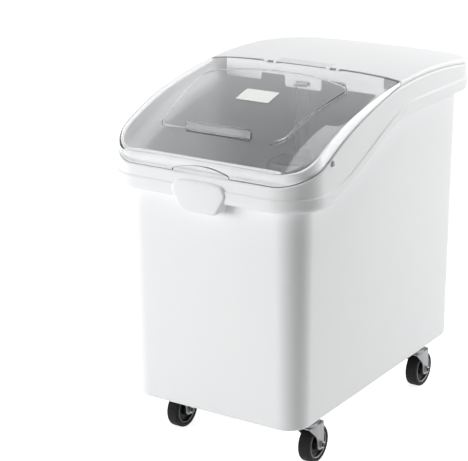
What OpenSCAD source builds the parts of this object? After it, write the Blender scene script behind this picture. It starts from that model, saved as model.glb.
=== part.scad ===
// Rolling flour bin: a tapered tub on four swivel casters, a fixed domed rear lid,
// a clear flip-up front lid hinged to it, and a clear scoop that hangs inside.
// Millimetres. X to the right, Y to the rear, Z up, origin on the floor under the middle.

/* [Tub] */
// Width of the tub at its floor
tub_w = 377; // [330:1:420]
// Depth of the tub at its floor
tub_d = 628; // [560:1:680]
// Plan radius of the tub's corners at its floor
tub_corner_r = 45; // [36:1:60]
// Height of the tub's underside above the floor
tub_floor_z = 104.5; // [102:0.5:115]
// Lean of each wall out of the vertical, in degrees
draft_deg = 0.63; // [0.2:0.01:1.2]
// Wall thickness
wall = 4.5; // [3:0.1:6]
// Radius of the edge round the underside
foot_r = 10; // [5:1:14]

/* [Collar] */
// How far the collar stands out from the wall
collar_out = 26; // [20:1:32]
// How far the collar's lower edge lies under the roof's top at the front
shoulder_front_drop = 180; // [168:1:208]
// How far the collar's lower edge lies under the roof's top at the rear
shoulder_rear_drop = 74; // [68:1:93]
// Where the collar's lower edge starts to climb
shoulder_start_y = -272; // [-290:1:-240]
// Where the collar's lower edge stops climbing
shoulder_end_y = 72; // [40:1:100]
// Height of the round at the collar's lower edge
shoulder_h = 25; // [18:1:30]
// Depth of the step line above that round
line_step = 2.4; // [1:0.1:2.6]
// How far the front rim, which the clear lid's skirt meets, lies under the roof's top
rim_front_drop = 132; // [118:1:138]
// Set-back of the lids' skirts from the collar's widest line
skirt_inset = 6; // [4:0.5:9]

/* [Front grip] */
// Width of the grip shield at its top
grip_w = 120; // [90:1:150]
// Width of the grip shield at its bottom
grip_low_w = 74; // [50:1:88]
// How far the grip shield's top edge lies under the front rim
grip_drop = 11; // [8:0.5:24]
// Height of the grip shield
grip_h = 59; // [46:1:66]
// How far the grip stands out past the collar
grip_proud = 5; // [2:0.5:8]

/* [Lids] */
// Height of the roof line at its highest
roof_top_z = 708; // [700:1:725]
// Where along the depth the roof line is highest
roof_peak_y = 120; // [90:1:150]
// Radius of the long roof arc
roof_r = 1150; // [1000:10:1400]
// Where the tighter front arc takes over
brow_y = -150; // [-180:1:-120]
// Radius of the front arc
brow_r = 550; // [500:5:640]
// Extra height of the lids along their middle
crown = 9; // [4:0.5:14]
// Thickness of the lids
lid_t = 3; // [2:0.1:4]
// Depth of the lid skirt at the front corners
skirt_front = 31; // [24:1:36]
// Depth of the lid skirt along the rear lid
skirt_rear = 9; // [8.5:0.5:12]
// Run over which the skirt grows deeper towards the front
skirt_run = 243; // [220:1:270]
// Running gap between a lid and what it rests on
seat_gap = 0.4; // [0.3:0.05:0.6]

/* [Front lid] */
// Width of the raised panel at its rear
panel_w = 296; // [250:1:320]
// Width of the raised panel at its front
panel_front_w = 250; // [220:1:290]
// Front edge of the raised panel
panel_front_y = -256; // [-262:1:-240]
// Rear edge of the raised panel at its corners
panel_rear_y = -72; // [-100:1:-60]
// How far the panel's rear edge bows back in the middle
panel_bow = 38; // [20:1:45]
// How far the panel stands up
panel_rise = 2.5; // [1.5:0.1:4]
// Width of the upright pull
pull_w = 140; // [100:1:170]
// Where the pull stands
pull_y = -279; // [-286:1:-270]
// How far the pull stands up from the lid
pull_h = 18; // [12:1:26]
// Thickness of the pull
pull_t = 4; // [3:0.2:6]
// Width of the finger arch in the front skirt
arch_w = 122; // [90:1:150]
// Height of the finger arch above the rim
arch_h = 15; // [8:0.5:18]

/* [Lid hinge] */
// Hinge line from the middle of the tub
hinge_y = 8; // [0:0.5:20]
// How far the hinge line lies under the lid's crown
hinge_drop = 2.5; // [2:0.1:3.5]
// Gap from the hinge line to the rear lid's edge
hinge_gap = 4.5; // [4.2:0.1:6]
// Outside radius of a knuckle
knuckle_r = 4; // [3.4:0.1:4.1]
// Length of the front lid's knuckle
knuckle_l = 12; // [10:1:20]
// Length of each rear lid knuckle
knuckle_rear_l = 8; // [6:1:10]
// Middle of each hinge from the centre line
knuckle_x = 70; // [64:1:76]
// Radius of the hinge pins
pin_r = 1.75; // [1.2:0.05:2.2]
// Radial running clearance of pins, axles and bushes
run_gap = 0.05; // [0.03:0.01:0.09]

/* [Scoop hanger] */
// Width of the flange under the rear lid's front edge
flange_w = 352; // [320:1:358]
// How far that flange's lower edge lies under the roof's top
flange_drop = 38; // [32:1:44]
// Thickness of the flange
flange_t = 3; // [2:0.1:4]
// Width of the tab that carries the scoop
tab_w = 82; // [70:1:96]
// How far the tab's lower edge lies under the roof's top
tab_drop = 46; // [44:1:52]
// Width of the notch beside the tab
notch_w = 54; // [50:1:58]
// How far the notches' upper edge lies under the roof's top
notch_drop = 24; // [18:1:28]
// Width of the slot in the tab
slot_w = 30; // [26:1:36]
// Height of the slot
slot_h = 6.4; // [6:0.1:7]
// How far the slot's lower edge lies under the roof's top
slot_drop = 39; // [37:0.5:41]
// Width of the finger notch in the rear lid's front edge
finger_w = 118; // [90:1:150]
// Depth of that finger notch
finger_d = 10; // [4:0.5:12]

/* [Scoop] */
// Width of the scoop's bowl
scoop_w = 104; // [90:1:120]
// Depth of the bowl from its rim to its bottom
scoop_d = 86; // [74:1:96]
// Length of the bowl along its bottom
bowl_l = 190; // [160:1:220]
// Length of the bowl's closed stretch at the rim
bowl_rim_l = 46; // [36:1:70]
// Length of the handle
handle_l = 145; // [120:1:165]
// Radius of the half-round handle
handle_r = 15; // [13.5:0.5:17]
// Wall of the scoop
scoop_t = 2.6; // [2:0.1:3.5]
// Thickness of the hook tongue
tongue_t = 3; // [2.4:0.1:3.4]

/* [Casters] */
// How far the swivels lie in from the tub's sides
caster_side_in = 37; // [34:0.5:42]
// How far the swivels lie in from the tub's ends
caster_end_in = 98; // [74:1:124]
// Wheel radius
wheel_r = 37.5; // [34:0.5:38]
// Width of the tread
tread_w = 26; // [24:0.5:30]
// How far the wheel trails its swivel
trail = 20; // [14:0.5:26]
// Side of the square mounting plate
plate_side = 56; // [54:1:60]
// Thickness of the plate and fork steel
steel_t = 3; // [2.4:0.1:3.4]
// Radius of the swivel's king pin
kingpin_r = 5; // [4:0.1:6]
// Radius of the axle bolt
axle_r = 4; // [3:0.1:4.5]
// Radius of the bush on the axle
bush_r = 6; // [5.5:0.1:6.5]
// Radius of the plate screws
screw_r = 3; // [2.5:0.1:3.4]

/* [Hidden] */

// Plan outline: steps per corner, per side and per end
corner_steps = 6;
side_steps = 14;
end_steps = 4;
overrun = 1;
edge_r = 1;
fine = 48;
white = "whitesmoke";
clear = [0.82, 0.86, 0.88, 0.4];

// Heights, measured down from the roof's top
shoulder_front_z = roof_top_z - shoulder_front_drop;
shoulder_rear_z = roof_top_z - shoulder_rear_drop;
rim_front_z = roof_top_z - rim_front_drop;
grip_top_z = rim_front_z - grip_drop;
flange_low_z = roof_top_z - flange_drop;
tab_low_z = roof_top_z - tab_drop;
notch_top_z = roof_top_z - notch_drop;
slot_low_z = roof_top_z - slot_drop;

// Tub offsets, measured out from the outline at its floor
draft = tan(draft_deg);
wall_gain = draft * (shoulder_front_z - tub_floor_z);
collar_o = wall_gain + collar_out;
skirt_o = collar_o - skirt_inset;
ledge_o = skirt_o + line_step;
lip_inner_o = wall_gain - wall;
lip_outer_o = wall_gain;
lip_share = 0.6;
shoulder_steps = 5;
round_mid_share = 1 - sin(45);
grip_waist_share = 0.34;
grip_side_share = 0.84;
grip_side_drop_share = 0.05;
grip_top_share = 0.4;
grip_round_share = 0.25;
lid_half_w = tub_w / 2 + skirt_o;
collar_y = tub_d / 2 + collar_o;

// Roof arcs: the front arc leaves the long one along a common tangent
brow_share = (brow_y - roof_peak_y) / roof_r;
brow_rise_share = sqrt(1 - brow_share * brow_share);
brow_centre_y = brow_y - brow_r * brow_share;
brow_centre_z = roof_top_z - roof_r + (roof_r - brow_r) * brow_rise_share;

// Lid edges, hinge and hanger places
lid_edge_r = 5;
lid_shares = [0.86, 0.72, 0.58, 0.44, 0.3, 0.18, 0.08];
pull_root_share = 0.65;
pull_round_share = 0.33;
hinge_z = roof_z(hinge_y) + crown - hinge_drop;
rear_lid_y = hinge_y + hinge_gap;
knuckle_gap = 0.5;
knuckle_room = 0.6;
knuckle_rear_x = (knuckle_l + knuckle_rear_l) / 2 + knuckle_gap;
hinge_pin_l = knuckle_l + 2 * (knuckle_gap + knuckle_rear_l);
tab_corner_r = 7;
flange_steps = 16;

// Scoop places: it hangs with its rim plane just in front of the tab
scoop_stand = 1.5;
scoop_rim_y = rear_lid_y - scoop_stand;
scoop_top_z = slot_low_z + slot_h;
bowl_top_z = scoop_top_z - handle_l;
bowl_r = scoop_w / 2;
tongue_side_gap = 2;
tongue_w = slot_w - 2 * tongue_side_gap;
tongue_gap = 0.5;
hook_gap = 1.6;
tongue_lip_h = 9;
saddle_w = 34;
saddle_l = 32;
saddle_t = 9;
saddle_gap = 0.2;
knob_r = 4;
knob_h = 6;

// Caster places and the caster stack, measured from the floor up
caster_x = tub_w / 2 - caster_side_in;
caster_y = tub_d / 2 - caster_end_in;
plate_low_z = tub_floor_z - steel_t;
axle_z = wheel_r;
crown_gap = 5;
crown_low_z = 2 * wheel_r + crown_gap;
crown_top_z = crown_low_z + steel_t;
ball_r = 2.5;
ball_gap = 0.15;
ball_count = 12;
ball_ring_r = 15;
ball_z = (crown_top_z + plate_low_z) / 2;
race_in_r = 20;
race_out_r = 22.5;
race_skirt = 1.6;
dish_r = 19.4;
fork_gap = 1.6;
fork_in = tread_w / 2 + fork_gap;
fork_out = fork_in + steel_t;
arm_end_r = 11;
arm_front = 20;
arm_rear = trail + arm_end_r;
gusset_share = 0.35;
gusset_z = lerp(axle_z, crown_low_z, gusset_share);
kingpin_head_r = 8;
kingpin_head_h = 2.2;
screw_pitch_x = 40;
screw_pitch_y = 42;
screw_hole_gap = 0.2;
screw_head_r = 5;
screw_head_h = 3;
screw_depth = 11;
pad_h = 9;
pad_edge = 4;
pad_side = screw_pitch_y + 2 * pad_edge;
plate_corner_r = 7;
nut_af_r = 7.5;
nut_h = 5;
bolt_head_h = 5;
bolt_end = 1.5;
hub_gap = 0.4;
hub_r = 12;
rim_r = 26;
web_w = 9;
tyre_in_r = 29.5;
tyre_round = 6;
ring_in_r = 26.6;
ring_out_r = 28.4;
ring_proud = 0.8;

function lerp(a, b, t) = a + (b - a) * t;
function clamp01(t) = min(1, max(0, t));
function ease(t) = t * t * (3 - 2 * t);

// Height of the roof line, the rim and the collar's lower edge along the depth
function roof_z(y) = y > brow_y
    ? roof_top_z - roof_r + sqrt(roof_r * roof_r - pow(y - roof_peak_y, 2))
    : brow_centre_z + sqrt(brow_r * brow_r - pow(y - brow_centre_y, 2));
function skirt_depth(y) = lerp(skirt_rear, skirt_front, clamp01(-y / skirt_run));
function rim_z(y) = max(rim_front_z, roof_z(y) - skirt_depth(y));
function shoulder_z(y) = lerp(shoulder_front_z, shoulder_rear_z,
    ease(clamp01((y - shoulder_start_y) / (shoulder_end_y - shoulder_start_y))));
function lid_z(p) = roof_z(p.y) + crown * (1 - pow(abs(p.x) / lid_half_w, 4));

// Rounded rectangle, anticlockwise from the front right: [x, y, outward x, outward y]
function corner_arc(cx, cy, start) = [for (i = [0 : corner_steps])
    let (a = start + 90 * i / corner_steps)
    [cx + tub_corner_r * cos(a), cy + tub_corner_r * sin(a), cos(a), sin(a)]];
function between(a, b, steps) = [for (i = [1 : steps - 1])
    [lerp(a[0], b[0], i / steps), lerp(a[1], b[1], i / steps), a[2], a[3]]];
corner_x = tub_w / 2 - tub_corner_r;
corner_y = tub_d / 2 - tub_corner_r;
arc_fr = corner_arc(corner_x, -corner_y, -90);
arc_rr = corner_arc(corner_x, corner_y, 0);
arc_rl = corner_arc(-corner_x, corner_y, 90);
arc_fl = corner_arc(-corner_x, -corner_y, 180);
base = concat(
    arc_fr, between(arc_fr[corner_steps], arc_rr[0], side_steps),
    arc_rr, between(arc_rr[corner_steps], arc_rl[0], end_steps),
    arc_rl, between(arc_rl[corner_steps], arc_fl[0], side_steps),
    arc_fl, between(arc_fl[corner_steps], arc_fr[0], end_steps));

function out(b, o) = [b[0] + b[2] * o, b[1] + b[3] * o];
function raised(p, z) = [p.x, p.y, z];
function level_ring(o, z) = [for (b = base) raised(out(b, o + draft * (z - tub_floor_z)), z)];
function shoulder_ring(o, dz) = [for (b = base) raised(out(b, o), shoulder_z(b[1]) + dz)];
function wall_ring(o, dz) = [for (b = base)
    let (z = shoulder_z(b[1]) + dz)
    raised(out(b, o + draft * (z - tub_floor_z)), z)];
function rim_ring(o, dz) = [for (b = base) raised(out(b, o), rim_z(b[1]) + dz)];
function lip_ring(o) = [for (b = base)
    raised(out(b, o), rim_z(b[1]) + lip_share * (skirt_depth(b[1]) - lid_t))];
function lid_ring(o, inward_share, dz) = [for (b = base)
    let (p = out(b, o) * (1 - inward_share))
    raised(p, lid_z(p) + dz)];

// Closed solid through a list of rings, each end closed by a fan to a point
module skin(rings, first_tip, last_tip) {
    n = len(rings[0]);
    last = len(rings) - 1;
    points = concat([for (r = rings) each r], [first_tip, last_tip]);
    first_i = n * len(rings);
    sides = [for (k = [0 : last - 1]) for (i = [0 : n - 1])
        let (j = (i + 1) % n, a = k * n + i, b = k * n + j)
        each [[a, a + n, b + n], [a, b + n, b]]];
    ends = [for (i = [0 : n - 1])
        let (j = (i + 1) % n)
        each [[first_i, i, j], [first_i + 1, last * n + j, last * n + i]]];
    polyhedron(points = points, faces = concat(sides, ends), convexity = 8);
}

// Convex outline with rounded corners; points run anticlockwise
function unit(v) = v / norm(v);
function round_corner(before, p, after, r) =
    let (a = unit(before - p), b = unit(after - p), angle = acos(a * b),
        centre = p + unit(a + b) * r / sin(angle / 2),
        from = p + a * r / tan(angle / 2) - centre,
        start = atan2(from.y, from.x))
    [for (i = [0 : corner_steps])
        let (t = start + (180 - angle) * i / corner_steps)
        centre + r * [cos(t), sin(t)]];
function rounded(pts, radii) = [for (i = [0 : len(pts) - 1])
    each round_corner(pts[(i + len(pts) - 1) % len(pts)], pts[i], pts[(i + 1) % len(pts)], radii[i])];

// Solid whose outline lies in the XZ plane, from one depth to another
module upright(y_from, y_to) {
    translate([0, y_to, 0]) rotate([90, 0, 0]) linear_extrude(y_to - y_from) children();
}

// Solid whose outline lies in the YZ plane, centred on X
module sideways(l) {
    translate([-l / 2, 0, 0]) rotate([90, 0, 90]) linear_extrude(l) children();
}

// Solid cylinder along X, centred on its length
module cross_rod(r, l) {
    rotate([0, 90, 0]) cylinder(r = r, h = l, center = true, $fn = fine);
}

casters = [
    ["fl", -1, -1],
    ["fr", 1, -1],
    ["rl", -1, 1],
    ["rr", 1, 1]
];
screw_places = [for (sx = [-1, 1]) for (sy = [-1, 1])
    [sx * screw_pitch_x / 2, sy * screw_pitch_y / 2]];

module at_caster(c) {
    translate([c[1] * caster_x, c[2] * caster_y, 0]) children();
}

// Tub: lofted shell with a rounded foot, a climbing collar and a lip for the lids
module tub_shell() {
    inner_floor_z = tub_floor_z + wall;
    skin([
        level_ring(-foot_r, tub_floor_z),
        level_ring(-foot_r * round_mid_share, tub_floor_z + foot_r * round_mid_share),
        level_ring(0, tub_floor_z + foot_r),
        wall_ring(0, 0),
        for (i = [1 : shoulder_steps])
            let (a = 90 * i / shoulder_steps)
            shoulder_ring(lerp(wall_gain, collar_o, sin(a)), shoulder_h * (1 - cos(a))),
        shoulder_ring(collar_o - line_step, shoulder_h + line_step),
        rim_ring(ledge_o, -line_step - seat_gap),
        rim_ring(ledge_o - line_step, -seat_gap),
        rim_ring(lip_outer_o, -seat_gap),
        lip_ring(lip_outer_o),
        lip_ring(lip_inner_o),
        wall_ring(-wall, 0),
        level_ring(-wall, inner_floor_z + foot_r),
        level_ring(-wall - foot_r * round_mid_share, inner_floor_z + foot_r * round_mid_share),
        level_ring(-wall - foot_r, inner_floor_z)
    ], [0, 0, tub_floor_z], [0, 0, inner_floor_z]);
}

module grip() {
    top = grip_w / 2;
    low = grip_low_w / 2;
    low_z = grip_top_z - grip_h;
    waist_z = grip_top_z - grip_h * grip_waist_share;
    side_z = grip_top_z - grip_h * grip_side_drop_share;
    r = grip_h * grip_round_share;
    upright(-collar_y - grip_proud, -tub_d / 2 - wall_gain + wall / 2)
        polygon(rounded([[-low, low_z], [low, low_z],
            [top, waist_z], [top * grip_side_share, side_z], [top * grip_top_share, grip_top_z],
            [-top * grip_top_share, grip_top_z], [-top * grip_side_share, side_z], [-top, waist_z]],
            [for (i = [0 : 7]) r]));
}

module tub() {
    color(white) difference() {
        union() {
            tub_shell();
            grip();
            for (c = casters) at_caster(c)
                translate([-pad_side / 2, -pad_side / 2, tub_floor_z + wall / 2])
                    cube([pad_side, pad_side, pad_h + wall / 2]);
        }
        for (c = casters) at_caster(c) for (p = screw_places)
            translate([p.x, p.y, tub_floor_z - overrun])
                cylinder(r = screw_r + run_gap, h = screw_depth + overrun, $fn = fine);
    }
}

// Both lids are one domed shell with a skirt, parted at the hinge line
module lid_shell() {
    middle = lid_z([0, 0]);
    skin([
        for (s = lid_shares) lid_ring(skirt_o - lid_edge_r, s, -lid_t),
        lid_ring(skirt_o - lid_edge_r, 0, -lid_t),
        rim_ring(skirt_o - lid_t, 0),
        rim_ring(skirt_o, 0),
        lid_ring(skirt_o, 0, -lid_edge_r),
        lid_ring(skirt_o - lid_edge_r * round_mid_share, 0, -lid_edge_r * round_mid_share),
        lid_ring(skirt_o - lid_edge_r, 0, 0),
        for (i = [len(lid_shares) - 1 : -1 : 0]) lid_ring(skirt_o - lid_edge_r, lid_shares[i], 0)
    ], [0, 0, middle - lid_t], [0, 0, middle]);
}

module front_half(y) {
    intersection() {
        children();
        translate([-collar_y, -2 * collar_y, 0]) cube([2 * collar_y, 2 * collar_y + y, 2 * roof_top_z]);
    }
}

module rear_half(y) {
    intersection() {
        children();
        translate([-collar_y, y, 0]) cube([2 * collar_y, 2 * collar_y, 2 * roof_top_z]);
    }
}

// Knuckles along the hinge line: middles and lengths on one side
module knuckles(places, l, r) {
    for (side = [-1, 1]) for (x = places)
        translate([side * (knuckle_x + x), hinge_y, hinge_z]) cross_rod(r, l);
}

// Raised panel outline, laid out on a unit square
panel_steps = 8;
panel_corner_share = 0.14;
function panel_point(u, v) =
    [u * lerp(panel_front_w, panel_w, v) / 2,
     lerp(panel_front_y, panel_rear_y, v) + panel_bow * (1 - u * u) * v * v];
panel_unit = concat(
    [for (i = [0 : corner_steps])
        let (a = -90 + 90 * i / corner_steps)
        [1 - panel_corner_share * (1 - cos(a)), panel_corner_share * (1 + sin(a))]],
    [for (i = [1 : panel_steps]) [1, lerp(panel_corner_share, 1, i / panel_steps)]],
    [for (i = [1 : panel_steps]) [1 - 2 * i / panel_steps, 1]],
    [for (i = [1 : panel_steps]) [-1, lerp(1, panel_corner_share, i / panel_steps)]],
    [for (i = [1 : corner_steps])
        let (a = 180 + 90 * i / corner_steps)
        [-1 + panel_corner_share * (1 + cos(a)), panel_corner_share * (1 + sin(a))]],
    [for (i = [1 : panel_steps - 1])
        [lerp(-1 + panel_corner_share, 1 - panel_corner_share, i / panel_steps), 0]]);

// The panel is the lid's own shell, lifted and trimmed to the panel's outline
module raised_panel() {
    intersection() {
        translate([0, 0, panel_rise]) lid_shell();
        translate([0, 0, rim_front_z]) linear_extrude(roof_top_z - rim_front_z + 2 * crown)
            polygon([for (q = panel_unit) panel_point(q.x, q.y)]);
    }
}

module pull() {
    half = pull_w / 2;
    low_z = roof_z(pull_y) + crown - lid_t * pull_root_share;
    top_z = roof_z(pull_y) + crown + pull_h;
    r = (top_z - low_z) * pull_round_share;
    upright(pull_y - pull_t / 2, pull_y + pull_t / 2)
        polygon(rounded([[-half, low_z], [half, low_z], [half, top_z], [-half, top_z]],
            [edge_r, edge_r, r, r]));
}

module front_lid() {
    arch_r = (arch_w * arch_w / 4 + arch_h * arch_h) / (2 * arch_h);
    color(clear) difference() {
        union() {
            front_half(hinge_y) lid_shell();
            raised_panel();
            pull();
            knuckles([0], knuckle_l, knuckle_r);
        }
        intersection() {
            upright(-collar_y - overrun, -tub_d / 2)
                translate([0, rim_front_z + arch_h - arch_r]) circle(r = arch_r, $fn = 2 * fine);
            translate([-arch_w, -2 * collar_y, rim_front_z - overrun])
                cube([2 * arch_w, 2 * collar_y, 2 * arch_h]);
        }
        knuckles([-knuckle_rear_x, knuckle_rear_x],
            knuckle_rear_l + 2 * knuckle_gap, knuckle_r + knuckle_room);
        knuckles([0], knuckle_l + overrun, pin_r + run_gap);
    }
}

// Flange under the rear lid's front edge, with the scoop tab between two notches
module hanger_flange() {
    half = flange_w / 2;
    tab = tab_w / 2;
    difference() {
        upright(rear_lid_y, rear_lid_y + flange_t) union() {
            polygon(concat([[-half, flange_low_z], [half, flange_low_z]],
                [for (i = [0 : flange_steps])
                    let (x = lerp(half, -half, i / flange_steps))
                    [x, lid_z([x, rear_lid_y]) - lid_t / 2]]));
            polygon(rounded([[-tab, tab_low_z], [tab, tab_low_z],
                [tab, notch_top_z], [-tab, notch_top_z]],
                [tab_corner_r, tab_corner_r, edge_r, edge_r]));
        }
        for (side = [-1, 1])
            translate([side * (tab + notch_w / 2) - notch_w / 2,
                rear_lid_y - overrun, flange_low_z - overrun])
                cube([notch_w, flange_t + 2 * overrun, notch_top_z - flange_low_z + overrun]);
        translate([-slot_w / 2, rear_lid_y - overrun, slot_low_z])
            cube([slot_w, flange_t + 2 * overrun, slot_h]);
    }
}

module knuckle_webs() {
    for (side = [-1, 1]) for (x = [-knuckle_rear_x, knuckle_rear_x])
        translate([side * (knuckle_x + x) - knuckle_rear_l / 2, hinge_y, hinge_z - knuckle_r])
            cube([knuckle_rear_l, hinge_gap + flange_t / 2, knuckle_r]);
}

module rear_lid() {
    color(white) difference() {
        union() {
            rear_half(rear_lid_y) lid_shell();
            hanger_flange();
            knuckle_webs();
            knuckles([-knuckle_rear_x, knuckle_rear_x], knuckle_rear_l, knuckle_r);
        }
        knuckles([-knuckle_rear_x, knuckle_rear_x], knuckle_rear_l + overrun, pin_r + run_gap);
        translate([-finger_w / 2, rear_lid_y - overrun, hinge_z + hinge_drop - lid_t / 2])
            cube([finger_w, finger_d + overrun, crown]);
    }
}

module hinge_pin(side) {
    color("silver") translate([side * knuckle_x, hinge_y, hinge_z]) cross_rod(pin_r, hinge_pin_l);
}

// Scoop: trough bowl with a slanted mouth, half-round handle and a hook tongue
module trough(r, past_rim, from_z, to_z) {
    centre_y = scoop_rim_y - scoop_d + bowl_r;
    side_h = scoop_d - bowl_r + past_rim;
    translate([0, 0, from_z]) linear_extrude(to_z - from_z) intersection() {
        union() {
            translate([0, centre_y]) circle(r = r, $fn = fine);
            translate([-r, centre_y]) square([2 * r, side_h]);
        }
        translate([-r, centre_y - r]) square([2 * r, r + side_h]);
    }
}

module bowl() {
    low_z = bowl_top_z - bowl_l;
    deep_y = scoop_rim_y - scoop_d;
    difference() {
        trough(bowl_r, 0, low_z, bowl_top_z);
        trough(bowl_r - scoop_t, overrun, low_z - overrun, bowl_top_z - scoop_t);
        sideways(scoop_w) polygon([[scoop_rim_y + overrun, bowl_top_z - bowl_rim_l],
            [deep_y, low_z], [deep_y, low_z - overrun], [scoop_rim_y + overrun, low_z - overrun]]);
    }
}

module handle() {
    difference() {
        translate([0, scoop_rim_y, bowl_top_z - scoop_t])
            cylinder(r = handle_r, h = handle_l + scoop_t, $fn = fine);
        translate([0, scoop_rim_y, bowl_top_z])
            cylinder(r = handle_r - scoop_t, h = handle_l - scoop_t, $fn = fine);
        translate([-handle_r - overrun, scoop_rim_y, bowl_top_z - 2 * scoop_t])
            cube([2 * (handle_r + overrun), handle_r + overrun, handle_l + 4 * scoop_t]);
    }
}

module tongue() {
    tongue_y = rear_lid_y + flange_t + hook_gap;
    tongue_z = slot_low_z + tongue_gap;
    translate([-tongue_w / 2, scoop_rim_y - handle_r + scoop_t, tongue_z])
        cube([tongue_w, tongue_y + tongue_t - scoop_rim_y + handle_r - scoop_t, tongue_t]);
    translate([-tongue_w / 2, tongue_y, tongue_z - tongue_lip_h])
        cube([tongue_w, tongue_t, tongue_lip_h + tongue_t / 2]);
}

module scoop() {
    color(clear) union() {
        bowl();
        handle();
        tongue();
    }
}

module scoop_saddle() {
    low_z = bowl_top_z - saddle_l / 2;
    color("darkgray") union() {
        translate([-saddle_w / 2, scoop_rim_y + saddle_gap, low_z]) cube([saddle_w, saddle_t, saddle_l]);
        translate([0, scoop_rim_y + saddle_gap + saddle_t / 2, low_z - knob_h])
            cylinder(r = knob_r, h = knob_h + overrun, $fn = fine);
    }
}

// Caster pieces, drawn about the swivel axis with the wheel trailing to the rear
module caster_plate() {
    color("silver") difference() {
        union() {
            translate([0, 0, plate_low_z]) linear_extrude(steel_t)
                polygon(rounded([[-1, -1], [1, -1], [1, 1], [-1, 1]] * plate_side / 2,
                    [for (i = [0 : 3]) plate_corner_r]));
            translate([0, 0, ball_z + ball_r + ball_gap])
                cylinder(r = race_out_r, h = plate_low_z - ball_z - ball_r, $fn = fine);
            translate([0, 0, ball_z - race_skirt])
                cylinder(r = race_out_r, h = plate_low_z - ball_z + race_skirt, $fn = fine);
        }
        translate([0, 0, ball_z - race_skirt - overrun])
            cylinder(r = race_in_r, h = ball_r + ball_gap + race_skirt + overrun, $fn = fine);
        translate([0, 0, ball_z]) cylinder(r = kingpin_r, h = 2 * ball_z, $fn = fine);
        for (p = screw_places) translate([p.x, p.y, plate_low_z - overrun])
            cylinder(r = screw_r + screw_hole_gap, h = steel_t + 2 * overrun, $fn = fine);
    }
}

module caster_screws() {
    color("gainsboro") for (p = screw_places) translate([p.x, p.y, plate_low_z]) {
        cylinder(r = screw_r, h = steel_t + screw_depth - overrun, $fn = fine);
        translate([0, 0, -screw_head_h]) cylinder(r = screw_head_r, h = screw_head_h, $fn = 6);
    }
}

module kingpin() {
    color("silver") {
        translate([0, 0, crown_low_z - seat_gap])
            cylinder(r = kingpin_r, h = tub_floor_z - crown_low_z + seat_gap, $fn = fine);
        translate([0, 0, crown_low_z - seat_gap - kingpin_head_h])
            cylinder(r = kingpin_head_r, h = kingpin_head_h, $fn = fine);
    }
}

module swivel_balls() {
    color("gray") for (i = [0 : ball_count - 1]) rotate([0, 0, 360 * i / ball_count])
        translate([ball_ring_r, 0, ball_z]) sphere(r = ball_r, $fn = fine);
}

module fork_arm() {
    rotate([90, 0, 90]) linear_extrude(steel_t) union() {
        polygon([[-arm_front, crown_top_z], [-arm_front, crown_low_z],
            [trail - arm_end_r, gusset_z], [trail - arm_end_r, axle_z],
            [trail + arm_end_r, axle_z], [arm_rear, crown_top_z]]);
        translate([trail, axle_z]) circle(r = arm_end_r, $fn = fine);
    }
}

module fork() {
    color("lightgray") difference() {
        union() {
            translate([-fork_out, -arm_front, crown_low_z])
                cube([2 * fork_out, arm_front + arm_rear, steel_t]);
            translate([0, 0, crown_low_z])
                cylinder(r = dish_r, h = ball_z - ball_r - ball_gap - crown_low_z, $fn = fine);
            translate([fork_in, 0, 0]) fork_arm();
            translate([-fork_out, 0, 0]) fork_arm();
        }
        translate([0, 0, crown_low_z - overrun])
            cylinder(r = kingpin_r + run_gap, h = 2 * ball_z, $fn = fine);
        translate([0, trail, axle_z]) cross_rod(axle_r + run_gap, 3 * fork_out);
    }
}

module axle_bolt() {
    color("silver") translate([0, trail, axle_z]) {
        translate([(nut_h + bolt_end) / 2, 0, 0]) cross_rod(axle_r, 2 * fork_out + nut_h + bolt_end);
        translate([-fork_out - bolt_head_h, 0, 0]) rotate([0, 90, 0])
            cylinder(r = nut_af_r, h = bolt_head_h, $fn = 6);
    }
}

module axle_nut() {
    color("silver") translate([fork_out, trail, axle_z]) rotate([0, 90, 0]) difference() {
        cylinder(r = nut_af_r, h = nut_h, $fn = 6);
        translate([0, 0, -overrun]) cylinder(r = axle_r + run_gap, h = nut_h + 2 * overrun, $fn = fine);
    }
}

module axle_bush() {
    color("goldenrod") translate([0, trail, axle_z]) difference() {
        cross_rod(bush_r, 2 * fork_in);
        cross_rod(axle_r + run_gap, 3 * fork_in);
    }
}

// Wheel core in section: hub, web and rim, with a raised ring on each face
module wheel_core() {
    hub_half = fork_in - hub_gap;
    rim_half = tread_w / 2 - tyre_round / 2;
    color("dimgray") translate([0, trail, axle_z]) rotate([0, 90, 0])
    rotate_extrude($fn = 2 * fine) union() {
        translate([bush_r + run_gap, -hub_half]) square([hub_r - bush_r, 2 * hub_half]);
        translate([hub_r - overrun, -web_w / 2]) square([rim_r - hub_r + overrun, web_w]);
        translate([rim_r - overrun, -rim_half]) square([tyre_in_r - rim_r + overrun, 2 * rim_half]);
        translate([ring_in_r, -rim_half - ring_proud])
            square([ring_out_r - ring_in_r, 2 * (rim_half + ring_proud)]);
    }
}

// Tyre in section: flat tread with rounded shoulders
module tyre() {
    half = tread_w / 2;
    color("darkslategray") translate([0, trail, axle_z]) rotate([0, 90, 0]) rotate_extrude($fn = 2 * fine)
        polygon(concat(
            [[tyre_in_r, -half], [tyre_in_r, half]],
            [for (i = [0 : corner_steps])
                let (a = 90 - 90 * i / corner_steps)
                [wheel_r - tyre_round * (1 - cos(a)), half - tyre_round * (1 - sin(a))]],
            [for (i = [0 : corner_steps])
                let (a = -90 * i / corner_steps)
                [wheel_r - tyre_round * (1 - cos(a)), -half + tyre_round * (1 + sin(a))]]));
}

tub();
rear_lid();
front_lid();
hinge_pin(-1);  // hinge_pin_left
hinge_pin(1);  // hinge_pin_right
scoop();
scoop_saddle();
for (c = casters) at_caster(c) {
    caster_plate();
    caster_screws();
    kingpin();
    swivel_balls();
    fork();
    axle_bolt();
    axle_nut();
    axle_bush();
    wheel_core();
    tyre();
}
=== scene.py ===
import math

import bmesh
import bpy
import numpy as np
from mathutils import Matrix, Vector


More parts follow.
